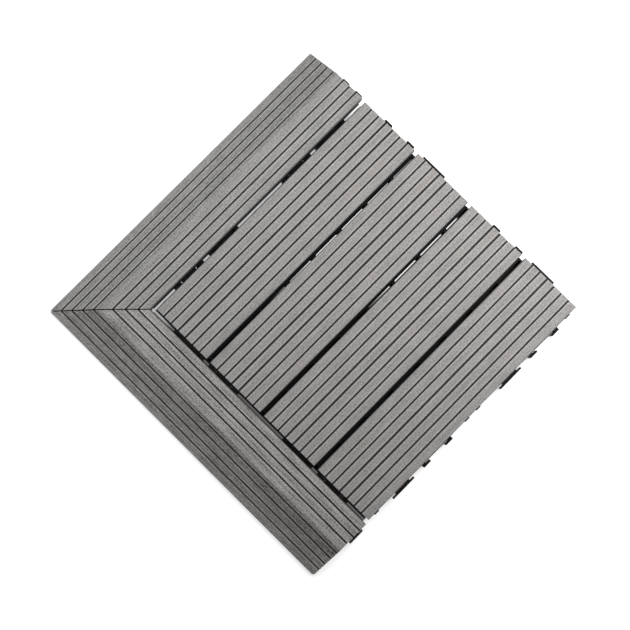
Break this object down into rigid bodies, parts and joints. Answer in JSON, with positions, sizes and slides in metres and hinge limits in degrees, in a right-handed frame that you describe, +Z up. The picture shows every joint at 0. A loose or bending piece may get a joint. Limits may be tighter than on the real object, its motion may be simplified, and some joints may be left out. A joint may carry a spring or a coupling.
{
  "type": "interlocking deck tile",
  "caption": "Square interlocking deck tile with grooved composite slats on a moulded lattice base, and a mitred sloped edging along two sides for an outer corner.",
  "frame": {"origin": "on the ground, at the middle of the part's outline seen from above", "axes": "+X along the slats away from the mitred corner, +Y across the slats towards the side edging, +Z up out of the walking surface"},
  "size_m": [0.378, 0.378, 0.022],
  "materials": {
    "slat_composite": "brushed wood and polymer composite, warm mid grey",
    "edging_composite": "brushed wood and polymer composite, warm mid grey, a touch darker than the slats",
    "black_moulding": "black moulded polypropylene with a fine satin grain",
    "screw_steel": "zinc-plated steel"
  },
  "bodies": {
    "root": {"tile_base": "black_moulding", "slat_1": "slat_composite", "slat_2": "slat_composite", "slat_3": "slat_composite", "slat_4": "slat_composite", "slat_1_screws": "screw_steel", "slat_2_screws": "screw_steel", "slat_3_screws": "screw_steel", "slat_4_screws": "screw_steel", "side_edging": "edging_composite", "end_edging": "edging_composite", "side_edging_strip": "black_moulding", "end_edging_strip": "black_moulding", "side_edging_screws": "screw_steel", "end_edging_screws": "screw_steel"}
  },
  "joints": []
}
